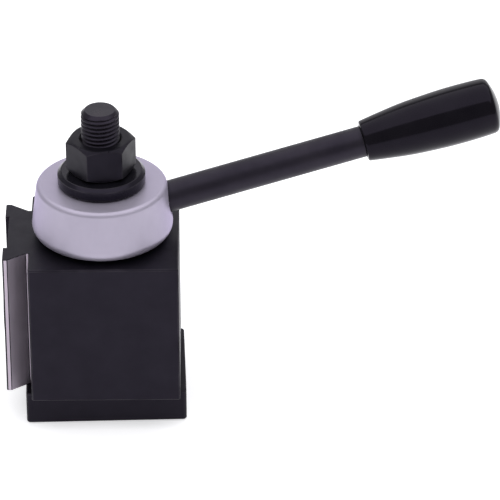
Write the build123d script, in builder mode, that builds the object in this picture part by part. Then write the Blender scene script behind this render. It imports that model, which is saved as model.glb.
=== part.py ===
"""Piston type quick change tool post for a small lathe.

+Z is up along the draw stud, +X is towards the lever side, -Y is the plain front.
The origin is the centre of the T-nut's underside. All lengths are millimetres.
"""
from build123d import *
from math import cos, radians, sin, sqrt, tan
import os

os.makedirs("parts", exist_ok=True)

# ---------------------------------------------------------------- fits
RUN = 0.05            # radial clearance of a running fit
SEAT = 0.02           # gap left between faces that bear on each other
END_FLOAT = 0.3       # gap at the end of a turning piece
BREAK = 1.0           # how far a cut runs past the face that it opens into

# ---------------------------------------------------------------- T-nut and stud
T_NUT_LENGTH = 63.5
T_NUT_WIDTH = 47.6
T_NUT_THICK = 13.7
T_NUT_TURN = 1.4      # degrees the loose T-nut lies off square to the post
T_NUT_CORNER = 1.6
T_NUT_FOOT_EDGE = 0.6
T_NUT_TOP_EDGE = 0.4
STUD_R = 7.5
STUD_TOP = 128.3
STUD_FOOT = 0.6       # the stud stops this far above the T-nut's underside
STUD_CHAMFER = 1.6
STUD_FOOT_CHAMFER = 0.8

# ---------------------------------------------------------------- post body
DOVE_WALL = 28.6      # from the stud axis to the two walls that carry dovetails
PLAIN_WALL = 29.9     # from the stud axis to the two plain walls
BODY_SIDE = DOVE_WALL + PLAIN_WALL
BODY_SHIFT = (PLAIN_WALL - DOVE_WALL) / 2
BODY_HEIGHT = 60.0
BODY_BASE = T_NUT_THICK + SEAT
BODY_TOP = BODY_BASE + BODY_HEIGHT
BODY_EDGE = 0.5
MAIN_BORE_R = 20.0
WEB = 11.5            # floor left under the main bore
WEB_TOP = BODY_BASE + WEB

# Dovetail, measured out from the body's side wall and across from the stud axis
DOVE_OUT = 10.2
DOVE_TIP_HALF = 21.6
DOVE_ROOT_HALF = 16.6
DOVE_TIP_LAND = 2.0
DOVE_TIP_CHAMFER = 0.45
DOVE_ROOT_LAND = 1.2
DOVE_OVERLAP = 1.0    # how far the dovetail's outline runs into the body
CHANNEL_HALF = 12.0
CHANNEL_DEPTH = 1.6
DOVE_FACE = DOVE_WALL + DOVE_OUT

# ---------------------------------------------------------------- pistons and cam
PISTON_R = 16.0
PISTON_Z = BODY_BASE + BODY_HEIGHT / 2
PISTON_PROUD = 0.5    # how far the piston face stands out of the dovetail face
PISTON_BACK = 20.8    # distance from the stud axis to the back of the piston's disc
PISTON_BORE_END = 12.8  # each piston bore is cut inwards as far as this from the stud axis
PISTON_EDGE = 0.7
TONGUE_WIDTH = 20.0
TONGUE_HEIGHT = 9.0
CAM_R = 15.0
CAM_OFFSET = 1.2      # eccentricity, which sets the piston stroke
CAM_GAP = 0.06
CAM_HEIGHT = 10.0
CAM_LEVEL = 6.0       # each cam's mid height is this far above or below the pistons' axis
CAM_CORE_R = 13.4
JOURNAL_R = MAIN_BORE_R - RUN
JOURNAL_BASE = PISTON_Z + PISTON_R + BREAK
GROOVE_R = 17.6
GROOVE_HEIGHT = 5.0
GROOVE_Z = 68.0

# ---------------------------------------------------------------- sleeve and bush
SLEEVE_R = 10.0
SLEEVE_BORE_R = 7.8
SLEEVE_FLANGE_R = 14.5
SLEEVE_FLANGE = 2.6
BUSH_R = 11.5
BUSH_INSET = 0.6      # the bush stops this far inside each end of the cam barrel
SLEEVE_PIN_R = 1.5
SLEEVE_PIN_AT = 12.2
SLEEVE_PIN_FOOT = 2.0   # the pin stops this far above the body's underside
SLEEVE_PROUD = 0.4      # how far the sleeve stands out of the hub, so that the clamp washer bears on it

# ---------------------------------------------------------------- hub
THRUST_THICK = 1.0
THRUST_INNER_R = 20.6
THRUST_OUTER_R = 23.4
HUB_BASE = BODY_TOP + THRUST_THICK + SEAT
HUB_TOP = 96.1
HUB_FOOT_R = 24.0
HUB_FOOT_RISE = 4.6   # from the hub's underside to its widest line
HUB_WIDE_R = 27.6
HUB_WIDE_Z = HUB_BASE + HUB_FOOT_RISE
HUB_RIM_R = 25.7
HUB_RIM_DROP = 1.9    # from the top face down to the end of the rounded rim
HUB_RIM_Z = HUB_TOP - HUB_RIM_DROP
HUB_SLEEVE_GAP = 0.5
HUB_BORE_R = SLEEVE_R + HUB_SLEEVE_GAP
HUB_TOP_R = 23.6
SPIGOT_R = 15.0
SPIGOT_TOP = 90.5
DRIVE_PIN_R = 1.5
DRIVE_PIN_AT = 13.25
DRIVE_PIN_FOOT = 80.5
DRIVE_PIN_INSET = 0.8   # the pins stop this far below the hub's top

# ---------------------------------------------------------------- lever
LEVER_AZIMUTH = 8.8   # degrees from +X towards the back
LEVER_RISE = 12.7     # degrees above level
LEVER_Z = 81.15       # where the rod's axis meets the stud axis
ROD_R = 6.2
ROD_START = 16.6      # where the rod's inner end lies, along its axis
ROD_HOLE_END = 0.4    # the rod's hole in the hub is this much deeper
ROD_SHOULDER = 106.3
ROD_NECK_R = 4.0
ROD_END = 133.0
SPOT_FACE_R = 7.4
SPOT_FACE_AT = 25.4
# The grip's radius against distance along the rod: its barrel, then its shoulder and low domed end
GRIP_BARREL = [(8.2, 0.7), (9.3, 8), (10.55, 18), (11.3, 30), (11.5, 38), (11.4, 46), (11.15, 51)]
GRIP_SHOULDER = [(10.75, 52.25), (9.75, 53.1)]
GRIP_DOME = [(5.2, 54.6), (0, 55.2)]
GRIP_MOUTH_R = 7.5    # edge of the flat at the grip's small end
GRIP_NECK_GAP = 0.3
INSERT_R = 6.4
INSERT_START = 109.0
INSERT_END = 135.0

# ---------------------------------------------------------------- washer and nut
WASHER_BASE = HUB_TOP + SLEEVE_PROUD
WASHER_R = 17.15
WASHER_THICK = 5.4
WASHER_EDGE = 1.4
WASHER_FOOT_EDGE = 0.5
WASHER_TOP = WASHER_BASE + WASHER_THICK
NUT_FLATS = 23.8
NUT_HEIGHT = 14.2
NUT_TURN = 8.0        # degrees the front flat is turned towards the lever
NUT_CHAMFER = 30.0    # degrees
NUT_FACE_INSET = 0.9  # the round end face is this much smaller than the flats
NUT_COUNTERSINK = 0.9

# ---------------------------------------------------------------- screws
DOG_R = 1.5
DOG_LENGTH = 2.5
KEYWAY_DEPTH = 3.0    # cut into the underside of each piston
KEYWAY_TRAVEL = 4.0
KEYWAY_PLAY = 0.3
SCREW_R = 2.5
SCREW_SOCKET = 2.6    # across the flats of the hexagon socket
SCREW_SOCKET_DEPTH = 3.0
SCREW_INSET = 0.5     # the cam screw's head sits this far inside the wall
GUIDE_BREAK = 3.0     # how far a guide screw's hole runs into the piston bore

lever_direction = Vector(
    cos(radians(LEVER_RISE)) * cos(radians(LEVER_AZIMUTH)),
    cos(radians(LEVER_RISE)) * sin(radians(LEVER_AZIMUTH)),
    sin(radians(LEVER_RISE)),
)
lever_plane = Plane(origin=(0, 0, LEVER_Z), z_dir=lever_direction)

# The two dovetail sides. Each sketch plane turns the left side's layout onto its side.
SIDES = {"left": 0, "back": -90}
# Each piston's plane lies on its face and looks inwards. Its local Y is up.
PISTON_PLANES = {
    "left": Plane(origin=(-DOVE_FACE - PISTON_PROUD, 0, PISTON_Z), x_dir=(0, 1, 0), z_dir=(1, 0, 0)),
    "back": Plane(origin=(0, DOVE_FACE + PISTON_PROUD, PISTON_Z), x_dir=(1, 0, 0), z_dir=(0, -1, 0)),
}
CAM_LEVELS = {"left": CAM_LEVEL, "back": -CAM_LEVEL}
CAM_CENTRES = {"left": (0, -CAM_OFFSET), "back": (-CAM_OFFSET, 0)}
SCREW_OUT = 29.0      # guide screw's distance from the stud axis


def finish(builder, name):
    """Label a finished piece and write it as one STEP file."""
    builder.part.label = name
    export_step(builder.part, f"parts/{name}.step")


# ---------------------------------------------------------------- T-nut
with BuildPart() as t_nut:
    with BuildSketch(Plane.XY.rotated((0, 0, T_NUT_TURN))):
        RectangleRounded(T_NUT_LENGTH, T_NUT_WIDTH, T_NUT_CORNER)
    extrude(amount=T_NUT_THICK)
    chamfer(t_nut.faces().sort_by(Axis.Z)[0].edges(), T_NUT_FOOT_EDGE)
    chamfer(t_nut.faces().sort_by(Axis.Z)[-1].edges(), T_NUT_TOP_EDGE)
    with Locations((0, 0, T_NUT_THICK)):
        Hole(STUD_R + SEAT)
finish(t_nut, "t_nut")

# ---------------------------------------------------------------- draw stud
with BuildPart() as draw_stud:
    with BuildSketch(Plane.XY.offset(STUD_FOOT)):
        Circle(STUD_R)
    extrude(amount=STUD_TOP - STUD_FOOT)
    chamfer(draw_stud.faces().sort_by(Axis.Z)[-1].edges(), STUD_CHAMFER)
    chamfer(draw_stud.faces().sort_by(Axis.Z)[0].edges(), STUD_FOOT_CHAMFER)
finish(draw_stud, "draw_stud")

# ---------------------------------------------------------------- post body
with BuildPart() as post_body:
    with BuildSketch(Plane.XY.offset(BODY_BASE)):
        with Locations((BODY_SHIFT, -BODY_SHIFT)):
            Rectangle(BODY_SIDE, BODY_SIDE)
    extrude(amount=BODY_HEIGHT)
    chamfer(post_body.edges(), BODY_EDGE)
    for turn in SIDES.values():
        with BuildSketch(Plane.XY.offset(BODY_BASE).rotated((0, 0, turn))):
            with BuildLine():
                half_outline = [
                    (-DOVE_WALL + DOVE_OVERLAP, DOVE_ROOT_HALF),
                    (-DOVE_WALL - DOVE_ROOT_LAND, DOVE_ROOT_HALF),
                    (-DOVE_FACE + DOVE_TIP_LAND, DOVE_TIP_HALF),
                    (-DOVE_FACE + DOVE_TIP_CHAMFER, DOVE_TIP_HALF),
                    (-DOVE_FACE, DOVE_TIP_HALF - DOVE_TIP_CHAMFER),
                    (-DOVE_FACE, CHANNEL_HALF),
                    (-DOVE_FACE + CHANNEL_DEPTH, CHANNEL_HALF),
                ]
                mirrored = [(x, -y) for x, y in reversed(half_outline)]
                Polyline(*half_outline, *mirrored, close=True)
            make_face()
        extrude(amount=BODY_HEIGHT)
    with BuildSketch(Plane.XY.offset(BODY_TOP)):
        Circle(MAIN_BORE_R)
    extrude(amount=-(BODY_TOP - WEB_TOP), mode=Mode.SUBTRACT)
    with BuildSketch(Plane.XY.offset(BODY_BASE)):
        Circle(SLEEVE_R + SEAT)
        with Locations((SLEEVE_PIN_AT, 0)):
            Circle(SLEEVE_PIN_R + SEAT)
    extrude(amount=WEB, mode=Mode.SUBTRACT)
    for side, plane in PISTON_PLANES.items():
        with BuildSketch(plane):
            Circle(PISTON_R + RUN)
        extrude(amount=DOVE_FACE + PISTON_PROUD - PISTON_BORE_END, mode=Mode.SUBTRACT)
        with BuildSketch(Plane.XY.offset(BODY_BASE).rotated((0, 0, SIDES[side]))):
            with Locations((-SCREW_OUT, 0)):
                Circle(SCREW_R + SEAT)
        extrude(amount=PISTON_Z - PISTON_R - BODY_BASE + GUIDE_BREAK, mode=Mode.SUBTRACT)
    with BuildSketch(Plane.YZ.offset(PLAIN_WALL)):
        with Locations((0, GROOVE_Z)):
            Circle(SCREW_R + SEAT)
    extrude(amount=-(PLAIN_WALL - MAIN_BORE_R + BREAK), mode=Mode.SUBTRACT)
finish(post_body, "post_body")

# ---------------------------------------------------------------- centre sleeve
with BuildPart() as centre_sleeve:
    with BuildSketch(Plane.XZ):
        with BuildLine():
            Polyline(
                (SLEEVE_BORE_R, BODY_BASE + SEAT),
                (SLEEVE_R, BODY_BASE + SEAT),
                (SLEEVE_R, WEB_TOP + SEAT),
                (SLEEVE_FLANGE_R, WEB_TOP + SEAT),
                (SLEEVE_FLANGE_R, WEB_TOP + SLEEVE_FLANGE),
                (SLEEVE_R, WEB_TOP + SLEEVE_FLANGE),
                (SLEEVE_R, WASHER_BASE - SEAT),
                (SLEEVE_BORE_R, WASHER_BASE - SEAT),
                close=True,
            )
        make_face()
    revolve(axis=Axis.Z)
    with BuildSketch(Plane.XY.offset(WEB_TOP)):
        with Locations((SLEEVE_PIN_AT, 0)):
            Circle(SLEEVE_PIN_R + SEAT)
    extrude(amount=SLEEVE_FLANGE + BREAK, mode=Mode.SUBTRACT)
finish(centre_sleeve, "centre_sleeve")

with BuildPart() as sleeve_key_pin:
    with BuildSketch(Plane.XY.offset(BODY_BASE + SLEEVE_PIN_FOOT)):
        with Locations((SLEEVE_PIN_AT, 0)):
            Circle(SLEEVE_PIN_R)
    extrude(amount=WEB + SLEEVE_FLANGE - SLEEVE_PIN_FOOT - SEAT)
finish(sleeve_key_pin, "sleeve_key_pin")

# ---------------------------------------------------------------- thrust washer
with BuildPart() as thrust_washer:
    with BuildSketch(Plane.XY.offset(BODY_TOP + SEAT / 2)):
        Circle(THRUST_OUTER_R)
        Circle(THRUST_INNER_R, mode=Mode.SUBTRACT)
    extrude(amount=THRUST_THICK - SEAT)
finish(thrust_washer, "thrust_washer")

# ---------------------------------------------------------------- cam barrel
BARREL_BASE = WEB_TOP + SLEEVE_FLANGE + END_FLOAT
BARREL_TOP = SPIGOT_TOP - END_FLOAT
with BuildPart() as cam_barrel:
    with BuildSketch(Plane.XY.offset(BARREL_BASE)):
        Circle(CAM_CORE_R)
    extrude(amount=BARREL_TOP - BARREL_BASE)
    for side, level in CAM_LEVELS.items():
        with BuildSketch(Plane.XY.offset(PISTON_Z + level - CAM_HEIGHT / 2)):
            with Locations(CAM_CENTRES[side]):
                Circle(CAM_R)
        extrude(amount=CAM_HEIGHT)
    with BuildSketch(Plane.XY.offset(JOURNAL_BASE)):
        Circle(JOURNAL_R)
    extrude(amount=BODY_TOP - JOURNAL_BASE)
    with BuildSketch(Plane.XY.offset(BODY_TOP)):
        Circle(SPIGOT_R)
    extrude(amount=BARREL_TOP - BODY_TOP)
    with BuildSketch(Plane.XY.offset(GROOVE_Z - GROOVE_HEIGHT / 2)):
        Circle(JOURNAL_R + BREAK)
        Circle(GROOVE_R, mode=Mode.SUBTRACT)
    extrude(amount=GROOVE_HEIGHT, mode=Mode.SUBTRACT)
    with BuildSketch(Plane.XY.offset(BARREL_BASE)):
        Circle(BUSH_R + SEAT)
    extrude(amount=SPIGOT_TOP, mode=Mode.SUBTRACT)
    with BuildSketch(Plane.XY.offset(DRIVE_PIN_FOOT)):
        with PolarLocations(DRIVE_PIN_AT, 2, start_angle=90):
            Circle(DRIVE_PIN_R + SEAT)
    extrude(amount=SPIGOT_TOP, mode=Mode.SUBTRACT)
finish(cam_barrel, "cam_barrel")

with BuildPart() as cam_bush:
    with BuildSketch(Plane.XY.offset(BARREL_BASE + BUSH_INSET)):
        Circle(BUSH_R)
        Circle(SLEEVE_R + RUN, mode=Mode.SUBTRACT)
    extrude(amount=BARREL_TOP - BARREL_BASE - 2 * BUSH_INSET)
finish(cam_bush, "cam_bush")

# ---------------------------------------------------------------- lever hub
with BuildPart() as lever_hub:
    with BuildSketch(Plane.XZ):
        with BuildLine():
            rim = (HUB_RIM_R, HUB_RIM_Z)
            wide = (HUB_WIDE_R, HUB_WIDE_Z)
            foot = (HUB_FOOT_R, HUB_BASE)
            side_line = Line(rim, wide)
            foot_arc = TangentArc(wide, foot, tangent=side_line % 1)
            rim_arc = TangentArc(rim, (HUB_TOP_R, HUB_TOP), tangent=(side_line % 0) * -1)
            Polyline(
                foot_arc @ 1,
                (SPIGOT_R + SEAT, HUB_BASE),
                (SPIGOT_R + SEAT, SPIGOT_TOP),
                (HUB_BORE_R, SPIGOT_TOP),
                (HUB_BORE_R, HUB_TOP),
                rim_arc @ 1,
            )
        make_face()
    revolve(axis=Axis.Z)
    with BuildSketch(lever_plane.offset(SPOT_FACE_AT)):
        Circle(SPOT_FACE_R)
    extrude(amount=HUB_WIDE_R, mode=Mode.SUBTRACT)
    with BuildSketch(lever_plane.offset(ROD_START - ROD_HOLE_END)):
        Circle(ROD_R + SEAT)
    extrude(amount=HUB_WIDE_R, mode=Mode.SUBTRACT)
    with BuildSketch(Plane.XY.offset(DRIVE_PIN_FOOT)):
        with PolarLocations(DRIVE_PIN_AT, 2, start_angle=90):
            Circle(DRIVE_PIN_R + SEAT)
    extrude(amount=HUB_TOP, mode=Mode.SUBTRACT)
finish(lever_hub, "lever_hub")

with BuildPart() as cam_drive_pins:
    with BuildSketch(Plane.XY.offset(DRIVE_PIN_FOOT + END_FLOAT)):
        with PolarLocations(DRIVE_PIN_AT, 2, start_angle=90):
            Circle(DRIVE_PIN_R)
    extrude(amount=HUB_TOP - DRIVE_PIN_INSET - DRIVE_PIN_FOOT - END_FLOAT)
finish(cam_drive_pins, "cam_drive_pins")

# ---------------------------------------------------------------- lever rod
with BuildPart() as lever_rod:
    with BuildSketch(lever_plane.offset(ROD_START)):
        Circle(ROD_R)
    extrude(amount=ROD_SHOULDER - ROD_START)
    with BuildSketch(lever_plane.offset(ROD_SHOULDER)):
        Circle(ROD_NECK_R)
    extrude(amount=ROD_END - ROD_SHOULDER)
finish(lever_rod, "lever_rod")

# ---------------------------------------------------------------- grip
with BuildPart() as grip_turning:
    with BuildSketch(Plane.XZ):
        with BuildLine():
            barrel = Spline(*GRIP_BARREL)
            shoulder = ThreePointArc(barrel @ 1, *GRIP_SHOULDER)
            dome = Spline(shoulder @ 1, *GRIP_DOME, tangents=[(-1, 0.45), (-1, 0)])
            insert_near = INSERT_START - SEAT - ROD_SHOULDER
            insert_far = INSERT_END + SEAT - ROD_SHOULDER
            neck_r = ROD_NECK_R + GRIP_NECK_GAP
            insert_r = INSERT_R + SEAT
            Polyline(
                dome @ 1,
                (0, insert_far),
                (insert_r, insert_far),
                (insert_r, insert_near),
                (neck_r, insert_near),
                (neck_r, 0),
                (GRIP_MOUTH_R, 0),
                barrel @ 0,
            )
        make_face()
    revolve(axis=Axis.Z)
# The grip is turned upright above, then stood on the end of the rod
with BuildPart() as lever_grip:
    with Locations(lever_plane.offset(ROD_SHOULDER + SEAT)):
        add(grip_turning.part)
finish(lever_grip, "lever_grip")

with BuildPart() as grip_insert:
    with BuildSketch(lever_plane.offset(INSERT_START)):
        Circle(INSERT_R)
        Circle(ROD_NECK_R + SEAT, mode=Mode.SUBTRACT)
    extrude(amount=INSERT_END - INSERT_START)
finish(grip_insert, "grip_insert")

# ---------------------------------------------------------------- clamp washer and nut
with BuildPart() as clamp_washer:
    with BuildSketch(Plane.XY.offset(WASHER_BASE)):
        Circle(WASHER_R)
    extrude(amount=WASHER_THICK)
    chamfer(clamp_washer.faces().sort_by(Axis.Z)[-1].edges(), WASHER_EDGE)
    chamfer(clamp_washer.faces().sort_by(Axis.Z)[0].edges(), WASHER_FOOT_EDGE)
    with Locations((0, 0, WASHER_TOP)):
        Hole(STUD_R + RUN)
finish(clamp_washer, "clamp_washer")

NUT_CORNER_R = NUT_FLATS / sqrt(3)
NUT_FACE_R = NUT_FLATS / 2 - NUT_FACE_INSET
NUT_CHAMFER_DROP = (NUT_CORNER_R - NUT_FACE_R) * tan(radians(NUT_CHAMFER))
with BuildPart() as clamp_nut:
    with BuildSketch(Plane.XY.offset(WASHER_TOP + SEAT)):
        RegularPolygon(NUT_FLATS / 2, 6, major_radius=False, rotation=NUT_TURN)
        Circle(STUD_R + RUN, mode=Mode.SUBTRACT)
    extrude(amount=NUT_HEIGHT)
    # The corners are turned off at both ends by one double-ended cone
    with BuildSketch(Plane.XZ):
        with BuildLine():
            base = WASHER_TOP + SEAT
            top = base + NUT_HEIGHT
            Polyline(
                (0, base),
                (NUT_FACE_R, base),
                (NUT_CORNER_R, base + NUT_CHAMFER_DROP),
                (NUT_CORNER_R, top - NUT_CHAMFER_DROP),
                (NUT_FACE_R, top),
                (0, top),
                close=True,
            )
        make_face()
    revolve(axis=Axis.Z, mode=Mode.INTERSECT)
    circles = clamp_nut.edges().filter_by(GeomType.CIRCLE)
    bore_rims = circles.filter_by(lambda edge: edge.radius < SLEEVE_BORE_R)
    chamfer(bore_rims, NUT_COUNTERSINK)
finish(clamp_nut, "clamp_nut")

# ---------------------------------------------------------------- pistons
for side, plane in PISTON_PLANES.items():
    length = DOVE_FACE + PISTON_PROUD - PISTON_BACK
    reach = DOVE_FACE + PISTON_PROUD - CAM_R - CAM_GAP
    with BuildPart() as piston:
        with BuildSketch(plane):
            Circle(PISTON_R)
        extrude(amount=length)
        chamfer(piston.edges().filter_by(GeomType.CIRCLE), PISTON_EDGE)
        with BuildSketch(plane.offset(length)):
            with Locations((0, CAM_LEVELS[side])):
                Rectangle(TONGUE_WIDTH, TONGUE_HEIGHT)
        extrude(amount=reach - length)
        # Keyway for the guide screw, open underneath
        with BuildSketch(Plane.XY.offset(PISTON_Z - PISTON_R - BREAK).rotated((0, 0, SIDES[side]))):
            with Locations((-SCREW_OUT, 0)):
                SlotOverall(DOG_R * 2 + KEYWAY_TRAVEL, DOG_R * 2 + KEYWAY_PLAY)
        extrude(amount=KEYWAY_DEPTH + BREAK, mode=Mode.SUBTRACT)
    finish(piston, f"{side}_piston")

# ---------------------------------------------------------------- grub screws
# A plane for each screw: its origin is the socket end, and it drives along its local Z.
screw_foot = BODY_BASE + END_FLOAT
screw_planes = {
    "left_guide_screw": Plane(origin=(-SCREW_OUT, 0, screw_foot)),
    "back_guide_screw": Plane(origin=(0, SCREW_OUT, screw_foot)),
    "cam_retaining_screw": Plane(origin=(PLAIN_WALL - SCREW_INSET, 0, GROOVE_Z), z_dir=(-1, 0, 0)),
}
guide_length = PISTON_Z - PISTON_R - screw_foot - END_FLOAT
retaining_length = PLAIN_WALL - SCREW_INSET - MAIN_BORE_R - END_FLOAT
for name, plane in screw_planes.items():
    body_length = guide_length if name.endswith("guide_screw") else retaining_length
    with BuildPart() as screw:
        with BuildSketch(plane):
            Circle(SCREW_R)
        extrude(amount=body_length)
        with BuildSketch(plane.offset(body_length)):
            Circle(DOG_R)
        extrude(amount=DOG_LENGTH)
        with BuildSketch(plane):
            RegularPolygon(SCREW_SOCKET / 2, 6, major_radius=False)
        extrude(amount=SCREW_SOCKET_DEPTH, mode=Mode.SUBTRACT)
    finish(screw, name)
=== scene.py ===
"""Quick change tool post for a small lathe: the finished look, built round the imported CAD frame."""
from math import cos, pi, radians, sin

import bmesh
import bpy
from mathutils import Matrix, Vector


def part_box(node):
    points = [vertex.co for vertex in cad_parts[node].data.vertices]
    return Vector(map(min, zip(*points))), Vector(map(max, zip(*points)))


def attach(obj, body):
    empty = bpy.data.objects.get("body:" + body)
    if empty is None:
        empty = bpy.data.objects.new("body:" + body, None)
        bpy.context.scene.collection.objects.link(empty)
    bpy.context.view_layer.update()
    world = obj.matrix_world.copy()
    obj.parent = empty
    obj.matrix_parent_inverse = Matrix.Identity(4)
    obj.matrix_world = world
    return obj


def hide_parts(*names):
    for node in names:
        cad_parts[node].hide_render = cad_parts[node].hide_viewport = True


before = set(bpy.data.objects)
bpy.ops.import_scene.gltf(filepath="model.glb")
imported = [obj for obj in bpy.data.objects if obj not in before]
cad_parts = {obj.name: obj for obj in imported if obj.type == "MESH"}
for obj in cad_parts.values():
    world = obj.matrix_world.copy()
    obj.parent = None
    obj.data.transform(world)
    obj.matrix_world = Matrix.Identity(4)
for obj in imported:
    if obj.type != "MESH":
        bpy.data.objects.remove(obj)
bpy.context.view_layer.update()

scene = bpy.context.scene

# ---------------------------------------------------------------- camera
# A long lens on a tripod in front of the post, a little above it and square to its plain face.
# It aims to the right of the stud's axis, so that the whole lever is in the frame.
CAMERA_RISE = radians(30.757)
CAMERA_TURN = radians(0.50)
CAMERA_ROLL = radians(-0.195)
CAMERA_DISTANCE = 1.6129
LENS = 288.64
AIM_RIGHT = 0.0578
AIM_UP = 0.0558

ahead = cos(CAMERA_RISE)
forward = Vector((sin(CAMERA_TURN) * ahead, cos(CAMERA_TURN) * ahead, -sin(CAMERA_RISE)))
level = Vector((cos(CAMERA_TURN), -sin(CAMERA_TURN), 0))
overhead = level.cross(forward)
right = level * cos(CAMERA_ROLL) + overhead * sin(CAMERA_ROLL)
up = overhead * cos(CAMERA_ROLL) - level * sin(CAMERA_ROLL)
eye = level * AIM_RIGHT + overhead * AIM_UP - forward * CAMERA_DISTANCE

camera_data = bpy.data.cameras.new("camera")
camera_data.lens = LENS
camera_data.sensor_width = 36
camera_data.clip_end = 20
camera = bpy.data.objects.new("camera", camera_data)
camera.matrix_world = Matrix((right, up, -forward)).transposed().to_4x4()
camera.matrix_world.translation = eye
scene.collection.objects.link(camera)
scene.camera = camera


# ---------------------------------------------------------------- studio
# A pale seamless table top under one broad soft box, with a dimmer one behind it.
# The room itself is a dim, even white, as inside a light tent.
TABLE_SIZE = 3.4
scene.view_settings.view_transform = "Standard"

world = bpy.data.worlds.new("room")
world.use_nodes = True
world.node_tree.nodes["Background"].inputs["Color"].default_value = (0.95, 0.95, 1.0, 1)
world.node_tree.nodes["Background"].inputs["Strength"].default_value = 0.45
scene.world = world


def soft_box(name, place, aim, width, height, watts):
    """A rectangular area light that faces its aim point."""
    light = bpy.data.lights.new(name, "AREA")
    light.shape = "RECTANGLE"
    light.size = width
    light.size_y = height
    light.energy = watts
    lamp = bpy.data.objects.new(name, light)
    lamp.rotation_euler = (Vector(aim) - Vector(place)).to_track_quat("-Z", "Y").to_euler()
    lamp.location = place
    scene.collection.objects.link(lamp)


soft_box("top_box", (0.05, 0.1, 1.6), (0.05, 0.05, 0), 3.2, 2.6, 34)
soft_box("back_box", (0.0, 1.9, 0.75), (0, 0, 0.1), 2.6, 1.1, 6)

table_work = bmesh.new()
bmesh.ops.create_grid(table_work, x_segments=2, y_segments=2, size=TABLE_SIZE / 2)
table_mesh = bpy.data.meshes.new("table")
table_work.to_mesh(table_mesh)
table_work.free()
table = bpy.data.objects.new("table", table_mesh)
scene.collection.objects.link(table)
table_finish = bpy.data.materials.new("white table")
table_finish.use_nodes = True
table_shader = table_finish.node_tree.nodes["Principled BSDF"]
table_shader.inputs["Base Color"].default_value = (0.93, 0.93, 0.94, 1)
table_shader.inputs["Roughness"].default_value = 0.9
table_shader.inputs["Specular IOR Level"].default_value = 0.1
table_shader.inputs["Emission Color"].default_value = (1, 1, 1, 1)
table_shader.inputs["Emission Strength"].default_value = 0.45
table_mesh.materials.append(table_finish)


# ---------------------------------------------------------------- T-nut
# The T-nut that slides in the lathe's slotted slide. It is a sawn and milled steel blank,
# blackened in a hot oxide bath, and it lies loose under the post at the stud's foot.
EDGE_BREAK = 0.00022
T_NUT_EDGE = 0.0003
MERGE_GAP = 0.000002
FLAT_WITHIN = radians(0.4)
CREASE = radians(28)
MOTTLES_PER_METRE = 95
CLOUDS_PER_METRE = 240
PITS_PER_METRE = 2600
SKIN_RELIEF = 0.00001
SKIN_TINT = (0.79, 0.69, 1.0, 1)


def add_node(tree, kind, **values):
    """A node with the named inputs set. Underscores in an input's name stand for spaces."""
    node = tree.nodes.new(kind)
    for name, value in values.items():
        node.inputs[name.replace("_", " ")].default_value = value
    return node


def stretched_noise(tree, stretch, scale, detail=3.0):
    """Noise on the object's own coordinates, drawn out along the axes with a small stretch."""
    where = add_node(tree, "ShaderNodeTexCoord")
    placed = add_node(tree, "ShaderNodeMapping", Scale=stretch)
    noise = add_node(tree, "ShaderNodeTexNoise", Scale=scale, Detail=detail)
    tree.links.new(where.outputs["Object"], placed.inputs["Vector"])
    tree.links.new(placed.outputs["Vector"], noise.inputs["Vector"])
    return noise.outputs["Fac"]


def ramp(tree, factor, low, high, first, second):
    """A colour or grey ramp that runs from first to second as the factor goes from low to high."""
    node = add_node(tree, "ShaderNodeValToRGB")
    for element, place, tone in zip(node.color_ramp.elements, (low, high), (first, second)):
        element.position = place
        element.color = (*tone, 1) if isinstance(tone, tuple) else (tone, tone, tone, 1)
    tree.links.new(factor, node.inputs["Fac"])
    return node.outputs["Color"]


def bumped(tree, shader, height, strength, distance):
    """Adds one more bump to the shader, on top of any that it already has."""
    bump = add_node(tree, "ShaderNodeBump", Strength=strength, Distance=distance)
    tree.links.new(height, bump.inputs["Height"])
    if shader.inputs["Normal"].links:
        tree.links.new(shader.inputs["Normal"].links[0].from_socket, bump.inputs["Normal"])
    tree.links.new(bump.outputs["Normal"], shader.inputs["Normal"])


def finish_named(name, metallic, gloss):
    """A new material, its node tree and its shader."""
    material = bpy.data.materials.new(name)
    material.use_nodes = True
    shader = material.node_tree.nodes["Principled BSDF"]
    shader.inputs["Metallic"].default_value = metallic
    shader.inputs["Specular IOR Level"].default_value = gloss
    shader.inputs["Specular Tint"].default_value = SKIN_TINT
    return material, material.node_tree, shader


def black_oxide(name, dark, light, grain, roughness, gloss=0.25, marks=0.12):
    """Hot blackened steel: a mottled blue-black skin over fine machining marks that run along the grain."""
    material, tree, shader = finish_named(name, 0, gloss)
    mottle = stretched_noise(tree, (1, 1, 1), MOTTLES_PER_METRE, 5)
    tree.links.new(ramp(tree, mottle, 0.3, 0.72, dark, light), shader.inputs["Base Color"])
    cloud = stretched_noise(tree, (1, 1, 1), CLOUDS_PER_METRE, 4)
    rough_low, rough_high = roughness
    tree.links.new(ramp(tree, cloud, 0.3, 0.75, rough_low, rough_high), shader.inputs["Roughness"])
    bumped(tree, shader, stretched_noise(tree, grain, 1, 2), marks, 2 * SKIN_RELIEF)
    bumped(tree, shader, stretched_noise(tree, (1, 1, 1), PITS_PER_METRE, 2), 0.10, SKIN_RELIEF)
    return material


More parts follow.
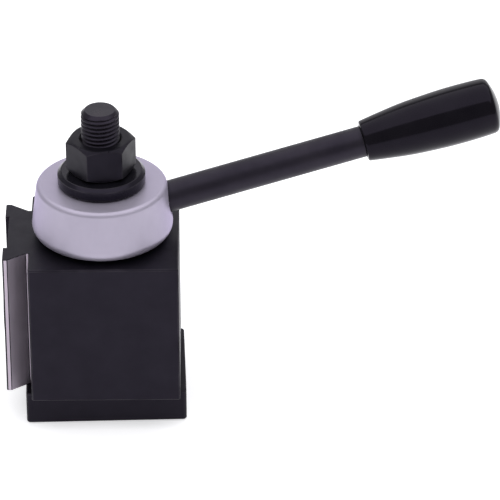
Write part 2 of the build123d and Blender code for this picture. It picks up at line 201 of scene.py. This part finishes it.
def softened(node, finishes, width=EDGE_BREAK, sharp=32):
    """A merged copy of a CAD node with every sharp edge rounded over.

    The rounded strips take the last finish. The large flat faces keep their own normals, so that they
    stay flat in the light right up to the strips.
    """
    work = bmesh.new()
    work.from_mesh(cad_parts[node].data)
    bmesh.ops.remove_doubles(work, verts=work.verts, dist=MERGE_GAP)
    bmesh.ops.dissolve_limit(work, angle_limit=FLAT_WITHIN, verts=work.verts, edges=work.edges)
    mesh = bpy.data.meshes.new(node + "_made")
    work.to_mesh(mesh)
    work.free()
    mesh.materials.clear()
    for finish in finishes:
        mesh.materials.append(finish)
    mesh.shade_smooth()
    piece = bpy.data.objects.new(node + "_made", mesh)
    scene.collection.objects.link(piece)
    edges = piece.modifiers.new("rounded edges", "BEVEL")
    edges.width = width
    edges.segments = 3
    edges.limit_method = "ANGLE"
    edges.angle_limit = radians(sharp)
    edges.use_clamp_overlap = False
    edges.material = len(finishes) - 1
    flats = piece.modifiers.new("flat faces", "WEIGHTED_NORMAL")
    flats.mode = "FACE_AREA"
    flats.weight = 100
    return baked(piece)


def baked(piece):
    """Makes the modifiers' result the piece's own plain mesh."""
    depsgraph = bpy.context.evaluated_depsgraph_get()
    mesh = bpy.data.meshes.new_from_object(piece.evaluated_get(depsgraph))
    piece.modifiers.clear()
    piece.data = mesh
    return piece


def smoothed(piece):
    """Shades a piece smooth, but for its sharp edges."""
    piece.data.shade_smooth()
    piece.data.set_sharp_from_angle(angle=CREASE)
    return piece


def declare(piece, body, node):
    """Hangs a finished piece on the body it rides on, and hides the CAD node that it replaces."""
    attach(piece, body)
    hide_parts(node)


MILLED_GRAIN = (60, 1400, 1400)
milled_black = black_oxide("milled black oxide", (0.0030, 0.0026, 0.0042), (0.0065, 0.0058, 0.0085),
                           MILLED_GRAIN, (0.36, 0.48), 0.20)
sawn_black = black_oxide("sawn black oxide", (0.0026, 0.0023, 0.0034), (0.0055, 0.0049, 0.0068),
                         MILLED_GRAIN, (0.36, 0.50), 0.19)
# The rounded edge strips are painted lighter than the oxide: partly rubbed wear, partly painted highlight along
# the edges.
worn_and_highlit_edge_black = black_oxide("worn black edge with painted highlight", (0.0024, 0.0021, 0.0032), (0.036, 0.033, 0.039),
                         (600, 600, 600), (0.46, 0.66), 0.15)
declare(softened("t_nut", [sawn_black, worn_and_highlit_edge_black], T_NUT_EDGE), "clamp", "t_nut")


# ---------------------------------------------------------------- draw stud
# The clamp stud is a turned and blackened steel bar with a coarse thread cut on its upper end.
# Its foot screws into the T-nut, and the nut on top pulls on it.
THREAD_PITCH = 0.00175
THREAD_DEPTH = 0.00095
THREAD_FOOT = 0.0885
THREAD_ENTRY = 0.0016
GROOVE_STEEPNESS = 2.3
SHANK_EDGE = 0.0008
ROWS_PER_TURN = 12
COLUMNS_AROUND = 72

stud_low, stud_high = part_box("draw_stud")
stud_radius = (stud_high.x - stud_low.x) / 2


def calculate(tree, operation, first, second=None, third=None):
    """One arithmetic node. Each term is a number or another node's output."""
    node = tree.nodes.new("ShaderNodeMath")
    node.operation = operation
    for socket, term in zip(node.inputs, (first, second, third)):
        if isinstance(term, (int, float)):
            socket.default_value = term
        elif term is not None:
            tree.links.new(term, socket)
    return node.outputs[0]


def thread_tree():
    """Geometry Nodes that wrap a grid into a screw thread, with rows along the helix and a flat at each end."""
    tree = bpy.data.node_groups.new("screw thread", "GeometryNodeTree")
    tree.interface.new_socket("Geometry", in_out="OUTPUT", socket_type="NodeSocketGeometry")
    for label in ("Radius", "Depth", "Pitch", "Foot", "Top", "Entry"):
        tree.interface.new_socket(label, in_out="INPUT", socket_type="NodeSocketFloat")
    for label in ("Rows", "Columns"):
        tree.interface.new_socket(label, in_out="INPUT", socket_type="NodeSocketInt")
    tree.interface.new_socket("Finish", in_out="INPUT", socket_type="NodeSocketMaterial")
    given = tree.nodes.new("NodeGroupInput").outputs
    step = calculate(tree, "DIVIDE", given["Pitch"], given["Rows"])
    length = calculate(tree, "SUBTRACT", given["Top"], given["Foot"])
    turns = calculate(tree, "ADD", calculate(tree, "DIVIDE", length, given["Pitch"]), 2)
    rows = calculate(tree, "CEIL", calculate(tree, "MULTIPLY", turns, given["Rows"]))
    grid = add_node(tree, "GeometryNodeMeshGrid", Size_X=1.0, Size_Y=1.0)
    tree.links.new(calculate(tree, "ADD", given["Columns"], 1), grid.inputs["Vertices X"])
    tree.links.new(calculate(tree, "ADD", rows, 1), grid.inputs["Vertices Y"])
    place = add_node(tree, "ShaderNodeSeparateXYZ")
    tree.links.new(tree.nodes.new("GeometryNodeInputPosition").outputs[0], place.inputs[0])
    around = calculate(tree, "ADD", place.outputs["X"], 0.5)
    upwards = calculate(tree, "ADD", place.outputs["Y"], 0.5)
    row = calculate(tree, "ROUND", calculate(tree, "MULTIPLY", upwards, rows))
    turn = calculate(tree, "DIVIDE", row, given["Rows"])
    rise = calculate(tree, "SUBTRACT", calculate(tree, "ADD", turn, around), 1)
    free = calculate(tree, "MULTIPLY_ADD", rise, given["Pitch"], given["Foot"])
    height = calculate(tree, "MINIMUM", calculate(tree, "MAXIMUM", free, given["Foot"]), given["Top"])
    # Sharp V grooves with a narrow flat on each crest
    wave = calculate(tree, "PINGPONG", turn, 0.5)
    groove = calculate(tree, "MINIMUM", calculate(tree, "MULTIPLY", wave, GROOVE_STEEPNESS), 1)
    cut = calculate(tree, "MULTIPLY", calculate(tree, "SUBTRACT", 1, groove), given["Depth"])
    crest = calculate(tree, "SUBTRACT", given["Radius"], cut)
    from_top = calculate(tree, "SUBTRACT", given["Top"], height)
    taper = calculate(tree, "SUBTRACT", calculate(tree, "ADD", given["Radius"], from_top), given["Entry"])
    outer = calculate(tree, "MINIMUM", crest, taper)
    # Rows more than one step past an end close in on the axis and make its flat
    past_top = calculate(tree, "GREATER_THAN", free, calculate(tree, "ADD", given["Top"], step))
    past_foot = calculate(tree, "LESS_THAN", free, calculate(tree, "SUBTRACT", given["Foot"], step))
    past = calculate(tree, "MAXIMUM", past_top, past_foot)
    radius = calculate(tree, "MULTIPLY", outer, calculate(tree, "SUBTRACT", 1, past))
    angle = calculate(tree, "MULTIPLY", around, 2 * pi)
    wrapped = add_node(tree, "ShaderNodeCombineXYZ")
    tree.links.new(calculate(tree, "MULTIPLY", radius, calculate(tree, "COSINE", angle)), wrapped.inputs["X"])
    tree.links.new(calculate(tree, "MULTIPLY", radius, calculate(tree, "SINE", angle)), wrapped.inputs["Y"])
    tree.links.new(height, wrapped.inputs["Z"])
    moved = add_node(tree, "GeometryNodeSetPosition")
    merged = add_node(tree, "GeometryNodeMergeByDistance", Distance=2 * MERGE_GAP)
    realized = add_node(tree, "GeometryNodeRealizeInstances")
    finished = add_node(tree, "GeometryNodeSetMaterial")
    output = tree.nodes.new("NodeGroupOutput")
    tree.links.new(grid.outputs["Mesh"], moved.inputs["Geometry"])
    tree.links.new(wrapped.outputs[0], moved.inputs["Position"])
    tree.links.new(moved.outputs[0], merged.inputs[0])
    tree.links.new(merged.outputs[0], realized.inputs[0])
    tree.links.new(realized.outputs[0], finished.inputs["Geometry"])
    tree.links.new(given["Finish"], finished.inputs["Material"])
    tree.links.new(finished.outputs[0], output.inputs[0])
    return tree


def grown(name, tree, **values):
    """A plain mesh piece from a node tree, with the tree's named inputs set."""
    piece = bpy.data.objects.new(name, bpy.data.meshes.new(name))
    scene.collection.objects.link(piece)
    modifier = piece.modifiers.new(name, "NODES")
    modifier.node_group = tree
    for item in tree.interface.items_tree:
        if item.in_out == "INPUT" and item.name in values:
            modifier[item.identifier] = values[item.name]
    return smoothed(baked(piece))


def outward(mesh):
    """Turns every face of a closed mesh outwards and drops faces with no area."""
    work = bmesh.new()
    work.from_mesh(mesh)
    bmesh.ops.dissolve_degenerate(work, edges=work.edges, dist=MERGE_GAP)
    bmesh.ops.recalc_face_normals(work, faces=work.faces)
    work.to_mesh(mesh)
    work.free()


def turned(name, outline, finish, around=96, lean=Matrix.Identity(4)):
    """A lathe-turned piece: (radius, height) points spun round the lean matrix's own Z axis."""
    work = bmesh.new()
    rings = []
    for radius, height in outline:
        if radius == 0:
            rings.append([work.verts.new((0, 0, height))] * around)
            continue
        angles = [2 * pi * step / around for step in range(around)]
        rings.append([work.verts.new((radius * cos(a), radius * sin(a), height)) for a in angles])
    for lower, upper in zip(rings, rings[1:]):
        for step in range(around):
            after = (step + 1) % around
            corners = [lower[step], lower[after], upper[after], upper[step]]
            work.faces.new(list(dict.fromkeys(corners)))
    bmesh.ops.recalc_face_normals(work, faces=work.faces)
    work.transform(lean)
    mesh = bpy.data.meshes.new(name)
    work.to_mesh(mesh)
    work.free()
    mesh.materials.append(finish)
    piece = bpy.data.objects.new(name, mesh)
    scene.collection.objects.link(piece)
    return smoothed(piece)


stud_black = black_oxide("turned black stud", (0.0045, 0.0040, 0.0058), (0.014, 0.0115, 0.014),
                         (500, 500, 1600), (0.26, 0.40), 0.3)
stud_thread = grown("stud_thread", thread_tree(), Radius=stud_radius, Depth=THREAD_DEPTH,
                    Pitch=THREAD_PITCH, Foot=THREAD_FOOT, Top=stud_high.z, Entry=THREAD_ENTRY,
                    Rows=ROWS_PER_TURN, Columns=COLUMNS_AROUND, Finish=stud_black)
outward(stud_thread.data)
declare(stud_thread, "clamp", "draw_stud")
shank_outline = [
    (0, stud_low.z),
    (stud_radius - SHANK_EDGE, stud_low.z),
    (stud_radius, stud_low.z + SHANK_EDGE),
    (stud_radius, THREAD_FOOT - SHANK_EDGE),
    (stud_radius - SHANK_EDGE, THREAD_FOOT),
    (0, THREAD_FOOT),
]
declare(turned("stud_shank", shank_outline, stud_black, 64), "clamp", "draw_stud")


# ---------------------------------------------------------------- post body
# One steel block, bored for the cam and milled square, blackened all over,
# then ground bright on the flanks and lands of its two dovetails.
DOVETAIL_DEPTH = 0.0102
LAND_CLEARANCE = 0.0001
DOVETAIL_CORE = 0.0162
SIDE_FACE_LEAN = 0.3
OUTER_FACE_TURN = 0.6
body_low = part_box("post_body")[0]


def bright_metal(name, tone, grain, roughness, marks):
    """Bare or plated steel with fine tool marks along its grain, and faint cloudy handling marks."""
    material, tree, shader = finish_named(name, 1, 0.5)
    darker = tuple(channel * 0.86 for channel in tone)
    cloud = stretched_noise(tree, (1, 1, 1), 70, 4)
    tree.links.new(ramp(tree, cloud, 0.3, 0.7, darker, tone), shader.inputs["Base Color"])
    streak = stretched_noise(tree, grain, 1, 3)
    rough_low, rough_high = roughness
    tree.links.new(ramp(tree, streak, 0.3, 0.7, rough_low, rough_high), shader.inputs["Roughness"])
    bumped(tree, shader, streak, marks, 0.00001)
    return material


ground_steel = bright_metal("ground dovetail steel", (0.56, 0.495, 0.57), (1800, 1800, 40),
                            (0.54, 0.62), 0.12)
body = softened("post_body", [milled_black, ground_steel, worn_and_highlit_edge_black], 0.0002)
wall = -body_low.x - DOVETAIL_DEPTH
for face in body.data.polygons:
    middle = face.center
    normal = face.normal
    for out, across, facing in ((-middle.x, middle.y, -normal.x), (middle.y, middle.x, normal.y)):
        beyond_wall = out > wall + LAND_CLEARANCE
        upright = abs(normal.z) < SIDE_FACE_LEAN and facing < OUTER_FACE_TURN
        if beyond_wall and upright and abs(across) > DOVETAIL_CORE and face.material_index == 0:
            face.material_index = 1
declare(body, "post", "post_body")


# ---------------------------------------------------------------- inside the post
# A turned sleeve, keyed to the post's floor, carries the nut's load past the hub. The turned
# cam barrel runs on it in a bronze bush, and small blackened screws hold the barrel and pistons.
turned_bare = bright_metal("turned bare steel", (0.50, 0.49, 0.50), (700, 700, 3000), (0.30, 0.42), 0.3)
ground_pin = bright_metal("ground pin steel", (0.58, 0.57, 0.58), (900, 900, 900), (0.16, 0.24), 0.15)
machined_bronze = bright_metal("machined bronze", (0.56, 0.36, 0.16), (700, 700, 3000), (0.26, 0.38), 0.3)
turned_brass = bright_metal("turned brass", (0.76, 0.57, 0.25), (2600, 700, 700), (0.22, 0.32), 0.3)
screw_black = black_oxide("black screw", (0.005, 0.005, 0.006), (0.012, 0.011, 0.013),
                          (900, 900, 900), (0.28, 0.4), 0.4)


def dress(nodes, finish):
    """Gives CAD nodes that stay as they are a better finish."""
    for node in nodes:
        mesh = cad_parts[node].data
        mesh.materials.clear()
        mesh.materials.append(finish)


dress(("centre_sleeve", "cam_barrel"), turned_bare)
dress(("sleeve_key_pin", "cam_drive_pins"), ground_pin)
dress(("cam_bush",), machined_bronze)
dress(("grip_insert",), turned_brass)
dress(("cam_retaining_screw", "left_guide_screw", "back_guide_screw", "thrust_washer"), screw_black)


# ---------------------------------------------------------------- pistons
# Two round steel pistons, turned and blackened, stand a little out of the dovetails.
# The cam barrel pushes them outwards, and they clamp the tool holders.
piston_black = black_oxide("turned black piston", (0.005, 0.0045, 0.006), (0.012, 0.011, 0.014),
                           (1400, 1400, 1400), (0.24, 0.36), 0.45)
for side in ("left", "back"):
    name = side + "_piston"
    declare(softened(name, [piston_black, worn_and_highlit_edge_black], 0.0002), name, name)


# ---------------------------------------------------------------- lever hub
# A turned steel hub with satin chrome plate. It sits on the post's top face
# and is pinned to the cam barrel beneath it.
HUB_EDGE = 0.00035
HUB_SHARPNESS = 24
MARKS_PER_METRE = 5200


def satin_chrome():
    """Satin plate over lathe marks that run round the hub, on the slope of its side and on its top face."""
    material, tree, shader = finish_named("satin chrome", 0.55, 0.12)
    where = add_node(tree, "ShaderNodeTexCoord")
    split = add_node(tree, "ShaderNodeSeparateXYZ")
    tree.links.new(where.outputs["Object"], split.inputs[0])
    across = calculate(tree, "MULTIPLY", split.outputs["X"], split.outputs["X"])
    squares = calculate(tree, "MULTIPLY_ADD", split.outputs["Y"], split.outputs["Y"], across)
    radius = calculate(tree, "SQRT", squares)
    round_marks = add_node(tree, "ShaderNodeCombineXYZ")
    tree.links.new(calculate(tree, "MULTIPLY", radius, MARKS_PER_METRE), round_marks.inputs["X"])
    tree.links.new(calculate(tree, "MULTIPLY", split.outputs["Z"], MARKS_PER_METRE), round_marks.inputs["Y"])
    marks = add_node(tree, "ShaderNodeTexNoise", Scale=1.0, Detail=3.0)
    tree.links.new(round_marks.outputs[0], marks.inputs["Vector"])
    cloud = stretched_noise(tree, (1, 1, 1), 55, 4)
    tone = ramp(tree, cloud, 0.3, 0.7, (0.410, 0.378, 0.465), (0.440, 0.406, 0.497))
    tree.links.new(tone, shader.inputs["Base Color"])
    fine = stretched_noise(tree, (1, 1, 1), 420, 3)
    tree.links.new(ramp(tree, fine, 0.3, 0.7, 0.38, 0.46), shader.inputs["Roughness"])
    bumped(tree, shader, marks.outputs["Fac"], 0.22, 0.00001)
    bumped(tree, shader, stretched_noise(tree, (1, 1, 1), 3400, 2), 0.15, 0.00001)
    return material


hub_plate = satin_chrome()
declare(softened("lever_hub", [hub_plate], HUB_EDGE, HUB_SHARPNESS), "lever", "lever_hub")


# ---------------------------------------------------------------- lever rod
# A plain bar of blackened steel, pressed into a spot-faced hole in the hub.
# Its outer end is necked down inside the grip.
rod_black = black_oxide("black rod", (0.006, 0.0052, 0.007), (0.014, 0.0125, 0.015),
                        (1200, 1200, 1200), (0.36, 0.5), 0.3)
declare(softened("lever_rod", [rod_black, worn_and_highlit_edge_black]), "lever", "lever_rod")


# ---------------------------------------------------------------- lever grip
# A moulded black phenolic grip, polished, swelling towards a low domed end.
# A brass insert moulded inside it holds the rod.
LEVER_AZIMUTH = radians(8.8)
LEVER_RISE = radians(12.7)
LEVER_HEIGHT = 0.08115
GRIP_START = 0.10632
GRIP_SWELL = [(8.2, 0.7), (9.3, 8), (10.55, 18), (11.3, 30), (11.5, 38), (11.4, 46), (11.15, 51)]
GRIP_END = [
    (10.9, 51.9), (10.4, 52.6), (9.7, 53.05), (8.4, 53.6),
    (6.7, 54.2), (4.7, 54.75), (2.4, 55.1), (0, 55.18),
]
GRIP_MOUTH = [(6.5, 6.0), (6.5, 0.3), (6.8, 0.02), (7.5, 0.02), (7.95, 0.2)]


def through(points, steps):
    """A smooth curve through the points, as a longer list of points."""
    found = []
    padded = [points[0], *points, points[-1]]
    for before, start, end, after in zip(padded, padded[1:], padded[2:], padded[3:]):
        for step in range(steps):
            t = step / steps
            weights = (-t + 2 * t**2 - t**3, 2 - 5 * t**2 + 3 * t**3, t + 4 * t**2 - 3 * t**3, t**3 - t**2)
            pulls = list(zip(weights, (before, start, end, after)))
            found.append(tuple(sum(w * p[axis] for w, p in pulls) / 2 for axis in (0, 1)))
    found.append(points[-1])
    return found


def phenolic():
    """Polished phenolic moulding: near black, with faint swirls from handling."""
    material, tree, shader = finish_named("black phenolic", 0, 0.15)
    cloud = stretched_noise(tree, (1, 1, 1), 120, 4)
    tone = ramp(tree, cloud, 0.3, 0.7, (0.0028, 0.0024, 0.0030), (0.0050, 0.0045, 0.0054))
    tree.links.new(tone, shader.inputs["Base Color"])
    smear = stretched_noise(tree, (40, 300, 300), 1, 4)
    tree.links.new(ramp(tree, smear, 0.3, 0.75, 0.10, 0.19), shader.inputs["Roughness"])
    bumped(tree, shader, stretched_noise(tree, (1, 1, 1), 260, 2), 0.06, 0.00003)
    return material


reach = cos(LEVER_RISE)
along = Vector((reach * cos(LEVER_AZIMUTH), reach * sin(LEVER_AZIMUTH), sin(LEVER_RISE)))
lean = along.to_track_quat("Z", "Y").to_matrix().to_4x4()
lean.translation = Vector((0, 0, LEVER_HEIGHT)) + along * GRIP_START
millimetre = 0.001
grip_profile = GRIP_MOUTH + through(GRIP_SWELL, 8) + GRIP_END
grip_outline = [(r * millimetre, h * millimetre) for r, h in [(0, 6.0), *grip_profile]]
grip = turned("lever_grip_made", grip_outline, phenolic(), 112, lean)
declare(grip, "lever", "lever_grip")


# ---------------------------------------------------------------- clamp washer and nut
# A thick turned washer, blackened and oiled so that it shines more than the post,
# and above it a milled and blackened hexagon nut, turned with a spanner.
oiled_black = black_oxide("oiled black oxide", (0.0045, 0.0042, 0.0062), (0.009, 0.0085, 0.0115),
                          (300, 300, 2600), (0.17, 0.27), 0.22, 0.10)
declare(softened("clamp_washer", [oiled_black, worn_and_highlit_edge_black]), "clamp", "clamp_washer")
nut_black = black_oxide("nut black oxide", (0.0035, 0.0032, 0.0048), (0.0080, 0.0074, 0.0100),
                        (900, 900, 300), (0.32, 0.44), 0.15, 0.10)
declare(softened("clamp_nut", [nut_black, worn_and_highlit_edge_black]), "nut", "clamp_nut")
